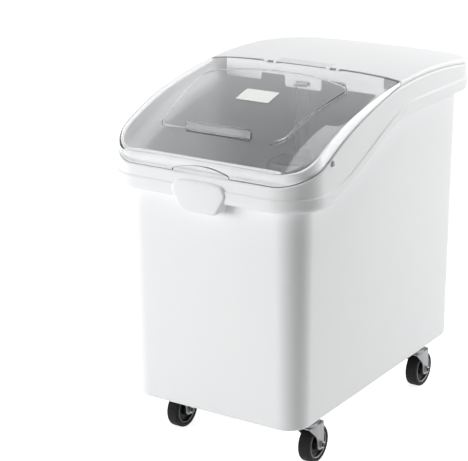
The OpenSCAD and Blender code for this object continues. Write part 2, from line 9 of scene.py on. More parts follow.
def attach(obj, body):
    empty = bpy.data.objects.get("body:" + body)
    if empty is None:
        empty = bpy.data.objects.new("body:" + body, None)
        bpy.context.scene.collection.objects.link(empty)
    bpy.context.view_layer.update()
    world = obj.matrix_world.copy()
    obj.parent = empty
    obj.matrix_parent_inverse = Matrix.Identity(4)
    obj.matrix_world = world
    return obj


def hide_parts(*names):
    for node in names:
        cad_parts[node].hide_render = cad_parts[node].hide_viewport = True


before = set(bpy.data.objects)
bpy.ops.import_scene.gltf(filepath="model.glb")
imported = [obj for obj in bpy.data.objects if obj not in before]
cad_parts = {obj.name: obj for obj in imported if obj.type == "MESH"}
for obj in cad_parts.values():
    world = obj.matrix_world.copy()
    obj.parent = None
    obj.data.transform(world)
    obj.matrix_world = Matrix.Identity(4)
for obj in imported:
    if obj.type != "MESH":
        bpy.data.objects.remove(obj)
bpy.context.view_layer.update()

scene = bpy.context.scene

# Tub: one deep moulding of satin white polyethylene with a rounded foot, slightly leaning walls
# and a wide collar whose lower edge climbs to the rear. The lids' skirts sit on a ledge round
# it, outside an upright lip that stands close to them at the sides and further in at the front.
tub_w, tub_d, tub_corner_r = 0.377, 0.628, 0.045
tub_floor_z, wall, foot_r, floor_in = 0.1045, 0.0045, 0.010, 0.030
draft = math.tan(math.radians(0.63))
roof_top_z, roof_peak_y, roof_r = 0.708, 0.120, 1.150
brow_y, brow_r = -0.150, 0.550
shoulder_front_z, shoulder_rear_z = roof_top_z - 0.180, roof_top_z - 0.074
shoulder_start_y, shoulder_end_y, shoulder_h = -0.272, 0.072, 0.025
rim_front_z = roof_top_z - 0.132
skirt_front, skirt_rear, skirt_run = 0.031, 0.009, 0.243
collar_out, line_step, seat_gap, skirt_inset = 0.026, 0.0024, 0.0004, 0.006
lid_t, lip_share, lip_room, lip_side_room, lip_side_gap = 0.003, 0.9, 0.0025, 0.0045, 0.0012
flare_top, flare_low = 0.006, 0.030
wall_gain = draft * (shoulder_front_z - tub_floor_z)
collar_o = wall_gain + collar_out
skirt_o = collar_o - skirt_inset
ledge_o = skirt_o + line_step
corner_x, corner_y = tub_w / 2 - tub_corner_r, tub_d / 2 - tub_corner_r


def rounded_plan(half_x, half_y, r, bend, run_x, run_y):
    """Rounded rectangle, anticlockwise from the front right, as rows of x, y, outward x, outward y:
    four quarter circles about the corner centres, joined by straight runs."""
    quarter = np.linspace(0, np.pi / 2, bend + 1)
    arcs = []
    for k, (sx, sy) in enumerate([(1, -1), (1, 1), (-1, 1), (-1, -1)]):
        a = quarter + (k - 1) * np.pi / 2
        centre = np.array([sx * (half_x - r), sy * (half_y - r)])
        ray = np.stack([np.cos(a), np.sin(a)], 1)
        arcs.append(np.hstack([centre + r * ray, ray]))
    rows = []
    for k, steps in enumerate([run_y, run_x, run_y, run_x]):
        share = np.linspace(0, 1, steps + 1)[1:-1, None]
        rows += [arcs[k], arcs[k][-1] * (1 - share) + arcs[(k + 1) % 4][0] * share]
    return np.vstack(rows)


def roof_z(y):
    """Roof line along the depth: a long arc that hands over to a tighter one on a shared tangent."""
    slope = (brow_y - roof_peak_y) / roof_r
    front_z = roof_top_z - roof_r + (roof_r - brow_r) * math.sqrt(1 - slope ** 2)
    rear = roof_top_z - roof_r + np.sqrt(roof_r ** 2 - (y - roof_peak_y) ** 2)
    front = front_z + np.sqrt(np.maximum(brow_r ** 2 - (y - brow_y + brow_r * slope) ** 2, 0))
    return np.where(y > brow_y, rear, front)


def skirt_depth(y):
    """Depth of the lids' skirt, growing evenly from the middle of the bin to its front."""
    return skirt_rear + (skirt_front - skirt_rear) * np.clip(-y / skirt_run, 0, 1)


def rim_z(y):
    """Height of the ledge that the skirts sit on: the roof less the skirt, level at the front."""
    return np.maximum(rim_front_z, roof_z(y) - skirt_depth(y))


def shoulder_z(y):
    """Height of the collar's lower edge, easing from its front to its rear level."""
    t = np.clip((y - shoulder_start_y) / (shoulder_end_y - shoulder_start_y), 0, 1)
    return shoulder_front_z + (shoulder_rear_z - shoulder_front_z) * t * t * (3 - 2 * t)


def smooth(t):
    """The eased step from 0 to 1."""
    t = np.clip(t, 0, 1)
    return t * t * (3 - 2 * t)


def rounded_profile(corners, radii, bend=6, run=6):
    """Rows of offset and height along a broken line that every plan point has its own copy of.
    Each inner corner becomes a parabola between two tangent points, and the straight runs
    get points bunched towards their ends, so that smooth shading stays flat on them. A corner
    takes no more than reach_share of the shorter leg."""
    reach_share = 0.47
    c = np.stack(corners)
    leg = np.diff(c, axis=0)
    size = np.maximum(np.linalg.norm(leg, axis=2, keepdims=True), 1e-9)
    unit = leg / size
    share = ((1 - np.cos(np.linspace(0, np.pi, run))) / 2)[:, None, None]
    t = np.linspace(0, 1, bend + 1)[:-1, None, None]
    rows, last = [], c[:1]
    for k, r in enumerate(radii, start=1):
        cut = np.minimum(r, reach_share * np.minimum(size[k - 1], size[k]))
        start, end = c[k] - unit[k - 1] * cut, c[k] + unit[k] * cut
        rows.append(last + (start - last) * share[:-1])
        rows.append((1 - t) ** 2 * start + 2 * t * (1 - t) * c[k] + t * t * end)
        last = end[None]
    return np.vstack(rows + [last + (c[-1:] - last) * share])


def lofted(plan, profile):
    """Points of a surface that carries a profile round a plan: each plan point moves out along
    its own normal by the profile's offset and up to its height, its own or the one for all."""
    xy = plan[None, :, :2] + plan[None, :, 2:] * profile[:, :, :1]
    return np.concatenate([xy, profile[:, :, 1:] + 0 * xy[:, :, :1]], 2)


def grid_patch(points, wrap=False):
    """Vertices and quads of a grid of points; wrap joins the last column to the first."""
    rows, cols = points.shape[:2]
    index = np.arange(rows * cols).reshape(rows, cols)
    if wrap:
        index = np.hstack([index, index[:, :1]])
    quads = np.stack([index[:-1, :-1], index[:-1, 1:], index[1:, 1:], index[1:, :-1]], 2)
    return points.reshape(-1, 3), quads.reshape(-1, 4).tolist()


def capped_patch(points):
    """A wrapped grid whose first and last rings are closed by fans to their own middles."""
    verts, faces = grid_patch(points, wrap=True)
    rows, cols = points.shape[:2]
    ring = np.arange(cols)
    after = np.roll(ring, -1)
    low, high = rows * cols, rows * cols + 1
    top = ring + (rows - 1) * cols
    faces += np.stack([np.full(cols, low), after, ring], 1).tolist()
    faces += np.stack([np.full(cols, high), top, np.roll(top, -1)], 1).tolist()
    return np.vstack([verts, points[0].mean(0), points[-1].mean(0)]), faces


def make_piece(name, patches, material, body, nodes=(), crease=40.0):
    """One mesh object from patches: doubles merged, normals turned outwards, shaded smooth
    apart from edges sharper than the crease angle. It rides on a body and stands for nodes."""
    merge_reach = 2e-6
    starts = np.cumsum([0] + [len(v) for v, _ in patches])
    verts = np.vstack([v for v, _ in patches])
    faces = [[i + int(s) for i in f] for (_, fs), s in zip(patches, starts) for f in fs]
    mesh = bpy.data.meshes.new(name)
    mesh.from_pydata(verts.tolist(), [], faces)
    work = bmesh.new()
    work.from_mesh(mesh)
    bmesh.ops.remove_doubles(work, verts=work.verts, dist=merge_reach)
    bmesh.ops.recalc_face_normals(work, faces=work.faces)
    work.to_mesh(mesh)
    work.free()
    mesh.shade_smooth()
    mesh.set_sharp_from_angle(angle=math.radians(crease))
    piece = bpy.data.objects.new(name, mesh)
    scene.collection.objects.link(piece)
    mesh.materials.append(material)
    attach(piece, body)
    if nodes:
        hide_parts(*nodes)
    return piece


def plain_material(name, colour, roughness, metallic=0.0):
    """A principled material whose even values sit on the shader's own sockets."""
    material = bpy.data.materials.new(name)
    material.use_nodes = True
    shader = material.node_tree.nodes["Principled BSDF"]
    shader.inputs["Base Color"].default_value = (*colour, 1)
    shader.inputs["Roughness"].default_value = roughness
    shader.inputs["Metallic"].default_value = metallic
    return material, material.node_tree, shader


def noise_on(tree, vector, scale, detail=2.0):
    """Output of a noise on given coordinates, for drifts of colour and gloss or for a grain."""
    noise = tree.nodes.new("ShaderNodeTexNoise")
    noise.inputs["Scale"].default_value = scale
    noise.inputs["Detail"].default_value = detail
    tree.links.new(vector, noise.inputs["Vector"])
    return noise.outputs["Fac"]


def add_grain(tree, shader, scale, depth, strength, stretch=(1, 1, 1), detail=3.0):
    """A noise on object coordinates, as fine relief in the surface; returns the noise's output
    and the coordinates' one."""
    place = tree.nodes.new("ShaderNodeTexCoord")
    turn = tree.nodes.new("ShaderNodeMapping")
    turn.inputs["Scale"].default_value = stretch
    tree.links.new(place.outputs["Object"], turn.inputs["Vector"])
    height = noise_on(tree, turn.outputs["Vector"], scale, detail)
    bump = tree.nodes.new("ShaderNodeBump")
    bump.inputs["Distance"].default_value = depth
    bump.inputs["Strength"].default_value = strength
    tree.links.new(height, bump.inputs["Height"])
    tree.links.new(bump.outputs["Normal"], shader.inputs["Normal"])
    return height, turn.outputs["Vector"]


def vary(tree, fac, socket, low, high):
    """Spreads a 0 to 1 pattern between two numbers or two colours on a shader socket."""
    if isinstance(low, tuple):
        mix = tree.nodes.new("ShaderNodeMix")
        mix.data_type = "RGBA"
        mix.inputs["A"].default_value = (*low, 1)
        mix.inputs["B"].default_value = (*high, 1)
        tree.links.new(fac, mix.inputs["Factor"])
        tree.links.new(mix.outputs["Result"], socket)
        return
    spread = tree.nodes.new("ShaderNodeMapRange")
    spread.inputs["To Min"].default_value = low
    spread.inputs["To Max"].default_value = high
    tree.links.new(fac, spread.inputs["Value"])
    tree.links.new(spread.outputs["Result"], socket)


white_low, white_high = (0.855, 0.862, 0.870), (0.885, 0.890, 0.896)
white_plastic, tree, shader = plain_material("satin_white_plastic", white_high, 0.42)
shader.inputs["IOR"].default_value = 1.5
shader.inputs["Specular IOR Level"].default_value = 0.34
white_grain = (900, 0.00006, 0.35)
_, place = add_grain(tree, shader, *white_grain)
drift = noise_on(tree, place, 5)
vary(tree, drift, shader.inputs["Base Color"], white_low, white_high)
vary(tree, drift, shader.inputs["Roughness"], 0.36, 0.46)

plan = rounded_plan(tub_w / 2, tub_d / 2, tub_corner_r, 24, 24, 70)
base_y = plan[:, 1]
inner_floor_z = tub_floor_z + wall
edge_z, seat_z = shoulder_z(base_y), rim_z(base_y) - seat_gap
sideness = smooth(np.abs(plan[:, 2]))
lip_o = wall_gain + (skirt_o - lid_t - lip_side_gap - wall_gain) * sideness
lid_room = lip_room + (lip_side_room - lip_room) * sideness
under_lid_z = roof_z(base_y + plan[:, 3] * lip_o) - lid_t - lid_room
lip_z = np.minimum(rim_z(base_y) + lip_share * (skirt_depth(base_y) - lid_t), under_lid_z)
tub_corners = [
    (-floor_in, tub_floor_z),
    (0, tub_floor_z),
    (draft * (edge_z - tub_floor_z), edge_z),
    (collar_o, edge_z),
    (collar_o, edge_z + shoulder_h),
    (collar_o - line_step, edge_z + shoulder_h + line_step),
    (ledge_o, seat_z - line_step),
    (ledge_o - line_step, seat_z),
    (lip_o, seat_z),
    (lip_o, lip_z),
    (lip_o - wall, lip_z),
    (lip_o - wall, seat_z - flare_top),
    (wall_gain - wall, seat_z - flare_low),
    (draft * (edge_z - tub_floor_z) - wall, edge_z),
    (-wall, inner_floor_z),
    (-floor_in, inner_floor_z),
]
tub_radii = [
    foot_r, 0.004, 0.024, 0.0009, 0.0009, 0.0012, 0.0008,
    0.0015, 0.0018, 0.0018, 0.008, 0.012, 0.01, foot_r,
]
tub_lines = [np.stack([o + 0 * base_y, z + 0 * base_y], 1) for o, z in tub_corners]
tub_profile = rounded_profile(tub_lines, tub_radii)
tub_patches = [capped_patch(lofted(plan, tub_profile))]

caster_x, caster_y = tub_w / 2 - 0.037, tub_d / 2 - 0.098
caster_places = {
    "fl": (-caster_x, -caster_y), "fr": (caster_x, -caster_y),
    "rl": (-caster_x, caster_y), "rr": (caster_x, caster_y),
}
pad_side, pad_h, pad_corner_r, pad_edge_r = 0.050, 0.009, 0.004, 0.002
pad_plan = rounded_plan(pad_side / 2, pad_side / 2, pad_corner_r, 6, 4, 4)
pad_low_z, pad_top_z = inner_floor_z - wall / 2, inner_floor_z + pad_h
pad_line = np.array([(0, pad_low_z), (0, pad_top_z), (-pad_side / 4, pad_top_z)])
pad = lofted(pad_plan, rounded_profile(pad_line[:, None], [pad_edge_r], 4, 3))
tub_patches += [capped_patch(pad + np.array([*place, 0])) for place in caster_places.values()]

grip_w, grip_low_w, grip_h, grip_proud = 0.120, 0.074, 0.059, 0.005
grip_top_z, grip_edge_r, grip_dome = rim_front_z - 0.011, 0.0055, 0.0012
grip_corner_r = grip_h * 0.25
grip_front_y = -(tub_d / 2 + collar_o + grip_proud)
grip_back_y = -(tub_d / 2 + wall_gain - wall / 2)


def mirrored(points):
    """Points on one side, followed by their mirror images in the reverse order."""
    return [*points, *[(-x, y) for x, y in points[::-1]]]


grip_shares = np.array(mirrored([(1, 0), (1, 0.66), (0.84, 0.95), (0.4, 1)]))


def rounded_outline(points, radius, bend):
    """Outline of a convex shape, anticlockwise: each corner is an arc of a circle that touches
    both sides. Rows are two coordinates and the outward normal there."""
    back = np.roll(points, 1, 0) - points
    ahead = np.roll(points, -1, 0) - points
    back /= np.linalg.norm(back, axis=1, keepdims=True)
    ahead /= np.linalg.norm(ahead, axis=1, keepdims=True)
    half = np.arccos(np.clip((back * ahead).sum(1, keepdims=True), -1, 1)) / 2
    middle = back + ahead
    centre = points + middle / np.linalg.norm(middle, axis=1, keepdims=True) * radius / np.sin(half)
    first = points + back * radius / np.tan(half) - centre
    start = np.arctan2(first[:, 1:], first[:, :1])
    a = start + (np.pi - 2 * half) * np.linspace(0, 1, bend + 1)
    ray = np.stack([np.cos(a), np.sin(a)], 2)
    return np.concatenate([centre[:, None] + radius * ray, ray], 2).reshape(-1, 4)


def plate_patch(outline, back, front, edge_r, dome=0.0):
    """A thick plate standing in the XZ plane: its outline carried from the back to the front,
    with a quarter-round front edge and a face that swells by dome towards its middle."""
    a = np.linspace(0, np.pi / 2, 8)
    straight = np.linspace(back, front + edge_r, 6)
    depth = np.concatenate([straight, front + edge_r * (1 - np.sin(a[1:]))])
    inset = np.concatenate([0 * straight, edge_r * (1 - np.cos(a[1:]))])
    xz = outline[None, :, :2] - outline[None, :, 2:] * inset[:, None, None]
    share = np.linspace(1, 0.1, 10)[1:, None, None]
    face = xz[-1].mean(0) + (xz[-1:] - xz[-1].mean(0)) * share
    face_y = front - dome * (1 - share[:, :, 0] ** 2)
    xz = np.vstack([xz, face])
    y = np.concatenate([depth[:, None], face_y])[:, :, None] + 0 * xz[:, :, :1]
    return capped_patch(np.concatenate([xz[:, :, :1], y, xz[:, :, 1:]], 2))


grip_half = np.where(grip_shares[:, 1:] == 0, grip_low_w, grip_w) / 2
grip_z = grip_top_z - grip_h * (1 - grip_shares[:, 1:])
grip_outline = rounded_outline(np.hstack([grip_shares[:, :1] * grip_half, grip_z]), grip_corner_r, 8)
grip_face_y = grip_front_y + grip_dome
tub_patches.append(plate_patch(grip_outline, grip_back_y, grip_face_y, grip_edge_r, grip_dome))
make_piece("tub_shell", tub_patches, white_plastic, "tub", ["tub"], 32)

# Rear lid: a domed white moulding with a rolled edge and a shallow skirt on the tub's ledge.
# Its front edge has a shallow recess for the fingers, its floor painted a greyer white as shade,
# and a flange hangs under it with the slotted tab that takes the scoop's hook.
crown, crown_trim, lid_edge_r, hem_r, curl_h = 0.009, 0.0002, 0.005, 0.0006, 0.004
lid_half_w = tub_w / 2 + skirt_o
hinge_y, hinge_gap, hinge_drop = 0.008, 0.0045, 0.0025
rear_lid_y = hinge_y + hinge_gap
hinge_z = float(roof_z(np.array(hinge_y))) + crown - hinge_drop
finger_w, finger_d, finger_low, finger_ease = 0.118, 0.022, 0.0012, 0.002


def lid_z(x, y):
    """Height of the lids' outer face: the roof line plus a crown that fades to the sides."""
    return roof_z(y) + (crown - crown_trim) * (1 - np.abs(x / lid_half_w) ** 4)


def lid_patches(cut_y, end, shares, rows, bend, relief, hem_lift):
    """Closed shell of one lid, from its straight cut to its front (end -1) or rear (end 1).
    The face is a grid of rows across the lid, with points at shares of its half width; its rim
    then rolls over, drops as the skirt to the tub's ledge and comes back up inside, and the
    same grid, a wall lower, closes it.
    Returns the patches and the skirt's path: x, y, outward x, outward y and its foot's height."""
    inner_o = skirt_o - lid_edge_r
    r = tub_corner_r + inner_o
    a = np.linspace(0, np.pi / 2, bend + 1)
    straight = np.linspace(cut_y, end * corner_y, rows)
    y = np.concatenate([straight, end * (corner_y + r * np.sin(a[1:]))])
    half = np.concatenate([np.full(rows, tub_w / 2 + inner_o), corner_x + r * np.cos(a[1:])])
    out_x = np.concatenate([np.ones(rows), np.cos(a[1:])])
    out_y = end * np.concatenate([np.zeros(rows), np.sin(a[1:])])
    x = half[:, None] * shares
    y_grid = y[:, None] + 0 * x
    z = lid_z(x, y_grid) + relief(x, y_grid)
    face = np.stack([x, y_grid, z], 2)
    under = face - np.array([0, 0, lid_t])

    def rim_path(left, across, right):
        return np.concatenate([left, across[1:-1], right[::-1]])

    px = rim_path(-half, x[-1], half)
    py = rim_path(y, y_grid[-1], y)
    nx = rim_path(-out_x, 0 * x[-1], out_x)
    ny = rim_path(out_y, end + 0 * x[-1], out_y)
    across = relief(x[-1], y_grid[-1])
    step = rim_path(z[:, 0] - lid_z(-half, y), across, z[:, -1] - lid_z(half, y))
    roll = np.linspace(0, np.pi / 2, 7)
    over = lid_edge_r * np.sin(roll)
    drop = lid_edge_r * (1 - np.cos(roll))
    rolled_z = lid_z(px + nx * over[:, None], py + ny * over[:, None]) - drop[:, None] + step
    rolled = np.stack([over[:, None] + 0 * px, rolled_z], 2)
    foot = rim_z(py - ny * inner_o) + hem_lift(px, py)
    fall = np.linspace(0, 1, 9)[1:, None]
    outer_z = rolled_z[-1] + (foot + hem_r - rolled_z[-1]) * fall
    outer = np.stack([lid_edge_r + 0 * outer_z, outer_z], 2)
    wall_o = lid_edge_r - lid_t
    hem_line = [(lid_edge_r - hem_r, 0), (wall_o + hem_r, 0), (wall_o, hem_r)]
    hem = np.stack([np.stack([o + 0 * px, foot + dz], 1) for o, dz in hem_line])
    top_in = rolled_z[0] - lid_t
    bow = np.linspace(0, np.pi / 2, 6)[1:, None]
    lift_z = top_in - curl_h
    wall_z = foot + hem_r + (lift_z - foot - hem_r) * fall
    wall_in = np.stack([wall_o + 0 * wall_z, wall_z], 2)
    curl = np.stack([wall_o * np.cos(bow) + 0 * px, lift_z + (top_in - lift_z) * np.sin(bow)], 2)
    profile = np.concatenate([rolled, outer, hem, wall_in, curl])
    strip = lofted(np.stack([px, py, nx, ny], 1), profile)
    ends = [(strip[:, k], [list(range(len(strip)))]) for k in (0, -1)]
    cut = grid_patch(np.stack([face[0], under[0]]))
    path = np.stack([px, py, nx, ny, foot], 1)
    return [grid_patch(face), grid_patch(under), grid_patch(strip), cut, *ends], path


def finger_recess(x, y):
    """Relief of the rear lid: a flat recess behind the middle of its front edge."""
    across = smooth((finger_w / 2 - np.abs(x)) / finger_ease + 0.5)
    along = smooth((rear_lid_y + finger_d - y) / finger_ease + 0.5)
    return -finger_low * across * along


def even_hem(x, y):
    """No rise: the rear lid's skirt sits on the ledge all round."""
    return 0 * x


rear_shares = np.linspace(-1, 1, 181)
rear_patches, _ = lid_patches(rear_lid_y, 1, rear_shares, 130, 24, finger_recess, even_hem)
rear_lid = make_piece("rear_lid_shell", rear_patches, white_plastic, "rear_lid", ["rear_lid"],
                      50)
# Painted shade: the recess's upward faces take a greyer white than the lid, standing for the shade in the
# recess.
recess_shade_low, recess_shade_high = (0.74, 0.76, 0.785), (0.78, 0.795, 0.815)
painted_recess_shade, tree, shader = plain_material("rear_lid_painted_recess_shade", (0.76, 0.78, 0.80), 0.4)
_, place = add_grain(tree, shader, *white_grain)
vary(tree, noise_on(tree, place, 40), shader.inputs["Base Color"], recess_shade_low, recess_shade_high)
rear_lid.data.materials.append(painted_recess_shade)
rear_faces = rear_lid.data.polygons
face_middle, face_normal = np.empty(3 * len(rear_faces)), np.empty(3 * len(rear_faces))
rear_faces.foreach_get("center", face_middle)
rear_faces.foreach_get("normal", face_normal)
in_recess = (np.abs(face_middle[0::3]) < finger_w / 2) & (face_middle[1::3] < rear_lid_y + finger_d)
facing_up = face_normal[2::3] > 0.5
rear_faces.foreach_set("material_index", (in_recess & facing_up).astype(np.int32))

flange_w, flange_t, flange_edge, flange_low_z = 0.352, 0.003, 0.0004, roof_top_z - 0.038
flange_end_r, flange_inner_r, flange_weld = 0.002, 0.003, 0.0002
tab_w, tab_low_z, tab_corner_r = 0.082, roof_top_z - 0.046, 0.007
notch_w, notch_top_z, notch_r = 0.054, roof_top_z - 0.024, 0.004
slot_w, slot_h, slot_low_z, slot_corner_r = 0.030, 0.0064, roof_top_z - 0.039, 0.001
sharp_r, fillet_bend = 0.0001, 5


def flat_plate(outlines, thickness, edge, place):
    """Patch of a plate of even thickness from closed outlines in its own plane, holes after the
    rim, with a small round along every edge; filled as a curve, then set in place."""
    curve = bpy.data.curves.new("plate_line", "CURVE")
    curve.dimensions = "2D"
    curve.fill_mode = "BOTH"
    curve.extrude = thickness / 2 - edge
    curve.bevel_depth = edge
    curve.bevel_resolution = 2
    curve.offset = -edge
    for outline in outlines:
        line = curve.splines.new("POLY")
        line.points.add(len(outline) - 1)
        flat = np.hstack([outline, np.tile((0, 1), (len(outline), 1))])
        line.points.foreach_set("co", flat.ravel())
        line.use_cyclic_u = True
    source = bpy.data.objects.new("plate_line", curve)
    scene.collection.objects.link(source)
    bpy.context.view_layer.update()
    filled = source.evaluated_get(bpy.context.evaluated_depsgraph_get())
    mesh = bpy.data.meshes.new_from_object(filled)
    bpy.data.objects.remove(source)
    mesh.transform(place)
    verts = np.empty(3 * len(mesh.vertices))
    mesh.vertices.foreach_get("co", verts)
    faces = [list(f.vertices) for f in mesh.polygons]
    bpy.data.meshes.remove(mesh)
    return verts.reshape(-1, 3), faces


def fillet(points, radii, bend=fillet_bend):
    """A broken outline whose every corner is a parabola of its own reach."""
    p = np.array(points)
    r = np.array(radii)[:, None]
    before, after = np.roll(p, 1, 0) - p, np.roll(p, -1, 0) - p
    start = p + before / np.linalg.norm(before, axis=1, keepdims=True) * r
    end = p + after / np.linalg.norm(after, axis=1, keepdims=True) * r
    t = np.linspace(0, 1, bend)[None, :, None]
    curve = (1 - t) ** 2 * start[:, None] + 2 * t * (1 - t) * p[:, None] + t * t * end[:, None]
    return curve.reshape(-1, 2)


def box_points(half, low, high):
    """Corners of a rectangle about the middle line, anticlockwise from the lower left."""
    return [(-half, low), (half, low), (half, high), (-half, high)]


wing, tab, notch_x = flange_w / 2, tab_w / 2, tab_w / 2 + notch_w
flange_points = mirrored([
    (-wing, flange_low_z), (-notch_x, flange_low_z), (-notch_x, notch_top_z),
    (-tab, notch_top_z), (-tab, tab_low_z),
])
half_radii = [flange_end_r, flange_inner_r, notch_r, notch_r, tab_corner_r]
flange_radii = [*half_radii, *half_radii[::-1]]
under_x = np.linspace(wing, -wing, 41)
under_z = lid_z(under_x, rear_lid_y + 0 * under_x) - lid_t + flange_weld
under_line = np.stack([under_x, under_z], 1)
hanging = fillet([*flange_points, under_line[0], under_line[-1]], [*flange_radii, sharp_r, sharp_r])
flange_outline = np.vstack([hanging[:-2 * fillet_bend], under_line])
slot_head = slot_low_z + slot_h + flange_edge
slot_points = box_points(slot_w / 2 + flange_edge, slot_low_z - flange_edge, slot_head)
slot_outline = fillet(slot_points, [slot_corner_r] * 4)
upright = Matrix.Rotation(math.pi / 2, 4, "X")
flange_place = Matrix.Translation((0, rear_lid_y + flange_t / 2, 0)) @ upright
flange = flat_plate([flange_outline, slot_outline], flange_t, flange_edge, flange_place)
make_piece("hanger_flange", [flange], white_plastic, "rear_lid")

# Hinge: knuckles moulded on the lids' meeting edges, two on the rear lid about each one on the
# front lid, with a plain steel pin through all three. The pins are the frame's own.
knuckle_r, knuckle_l, knuckle_rear_l, knuckle_x, pin_r = 0.004, 0.012, 0.008, 0.070, 0.0018
knuckle_gap, knuckle_soft, web_in = 0.0005, 0.0005, 0.001
knuckle_rear_x = (knuckle_l + knuckle_rear_l) / 2 + knuckle_gap


def turned(section, centre, steps):
    """Surface of revolution about a line along X through a centre: the section is a closed
    outline whose rows are the distance along the line and the radius."""
    a = np.linspace(0, 2 * np.pi, steps + 1)[:-1]
    line = np.vstack([section, section[:1]])
    along, r = line[:, :1], line[:, 1:]
    y, z = centre[1] + r * np.cos(a), centre[2] + r * np.sin(a)
    return grid_patch(np.stack([centre[0] + along + 0 * a, y, z], 2), wrap=True)


def knuckle_patch(x, length):
    """A short tube along the hinge line with softened ends."""
    half, soft_r = length / 2, knuckle_r - knuckle_soft
    line = mirrored([(-half, pin_r), (-half, soft_r), (-half + knuckle_soft, knuckle_r)])
    return turned(line, (x, hinge_y, hinge_z), 40)


def web_patch(x):
    """The small web that carries a rear knuckle from the lid's edge."""
    half, low, end_y = knuckle_rear_l / 2, hinge_z - knuckle_r, rear_lid_y + web_in
    section = np.array([(hinge_y, low), (end_y, low), (end_y, hinge_z), (hinge_y, hinge_z)])
    side = np.array([x - half, x + half])
    yz = section[None, :, :] + 0 * side[:, None, None]
    return capped_patch(np.concatenate([side[:, None, None] + 0 * yz[:, :, :1], yz], 2))


rear_places = [s * (knuckle_x + d) for s in (-1, 1) for d in (-knuckle_rear_x, knuckle_rear_x)]
rear_knuckles = [knuckle_patch(x, knuckle_rear_l) for x in rear_places]
rear_knuckles += [web_patch(x) for x in rear_places]
make_piece("rear_lid_knuckles", rear_knuckles, white_plastic, "rear_lid")

# Front lid: a clear moulded cover with the same dome and a deeper skirt, a low raised panel,
# an upright pull along its front and a shallow arch in the skirt for the fingers.
clear_plastic, tree, shader = plain_material("clear_plastic", (0.935, 0.942, 0.948), 0.03)
shader.inputs["Transmission Weight"].default_value = 1.0
shader.inputs["IOR"].default_value = 1.49
haze, _ = add_grain(tree, shader, 60, 0.0002, 0.05)
vary(tree, haze, shader.inputs["Roughness"], 0.015, 0.05)

panel_w, panel_front_w, panel_front_y, panel_rear_y = 0.316, 0.262, -0.2795, -0.081
panel_bow, panel_rise, panel_corner_r, panel_edge = 0.038, 0.0032, 0.022, 0.0032
arch_w, arch_h, arch_step, arch_ease = 0.122, 0.015, 0.004, 0.0016


def raised_panel(x, y):
    """Relief of the front lid: a panel that widens to the rear, where its edge bows back,
    lifted by an eased edge whose corners follow a circle. The bow shifts a point's share of the
    depth, which the bow itself grows with, so a few rounds settle it."""
    rounds = 4
    depth = panel_rear_y - panel_front_y
    v = (y - panel_front_y) / depth
    for _ in range(rounds):
        v = np.clip(v, -1, 2)
        half = (panel_front_w + (panel_w - panel_front_w) * v) / 2
        u = np.clip(np.abs(x) / half, 0, 1)
        v = (y - panel_front_y - panel_bow * (1 - u * u) * np.clip(v, 0, 1) ** 2) / depth
    side = half - np.abs(x)
    along = np.minimum(v, 1 - v) * depth
    near = np.hypot(np.maximum(panel_corner_r - side, 0), np.maximum(panel_corner_r - along, 0))
    inside = np.where(near > 0, panel_corner_r - near, np.minimum(side, along))
    return panel_rise * smooth(inside / panel_edge + 0.5)


def finger_arch(x, y):
    """Rise of the front skirt's foot over the middle of the straight front: a short steep step
    at each end, and the cap of a circle between the two."""
    cap_h = arch_h - arch_step
    r = (arch_w ** 2 / 4 + cap_h ** 2) / (2 * cap_h)
    cap = np.sqrt(np.maximum(r ** 2 - x ** 2, 0)) + cap_h - r
    step = arch_step * smooth((arch_w / 2 - np.abs(x)) / arch_ease)
    return np.where(y < -tub_d / 2, np.maximum(cap, 0) + step, 0)


def make_clear(name, patches, body, nodes=(), crease=40.0):
    """A piece of clear plastic, left out of the lamps' shadows because it casts next to none."""
    piece = make_piece(name, patches, clear_plastic, body, nodes, crease)
    piece.visible_shadow = False


def bunched(count, spots):
    """Shares from -1 to 1, alike on both sides and closer together about each spot, which is a
    place, a reach and a gain: the running sum of their density, turned round."""
    u = np.linspace(0, 1, 2001)
    density = 1 + sum(gain * (np.abs(u - place) < reach) for place, reach, gain in spots)
    ahead = np.cumsum(density)
    right = np.interp(np.linspace(ahead[0], ahead[-1], count), ahead, u)
    return np.concatenate([-right[:0:-1], right])


arch_spot = (arch_w / 2 / corner_x, 0.02, 3)
panel_spot = ((panel_w + panel_front_w) / 4 / lid_half_w, 0.085, 3.5)
front_shares = bunched(97, [arch_spot, panel_spot])
front_patches, front_path = lid_patches(hinge_y, -1, front_shares, 124, 48, raised_panel, finger_arch)
make_clear("front_lid_shell", front_patches, "front_lid", ["front_lid"], 50)

# Painted shadow: dark lines of painted shade on the front lid, standing for the shadow in the gap under
# its skirt's foot, in the seam where the lids meet, and at the foot of the pull.
painted_shadow_lines, tree, shader = plain_material("front_lid_painted_shadow", (0.075, 0.09, 0.1), 0.25)
edge_grain, _ = add_grain(tree, shader, 300, 0.00004, 0.2)
vary(tree, edge_grain, shader.inputs["Base Color"], (0.055, 0.068, 0.078), (0.12, 0.135, 0.145))
edge_h, edge_skin, cut_h = 0.0009, 0.0001, 0.0014
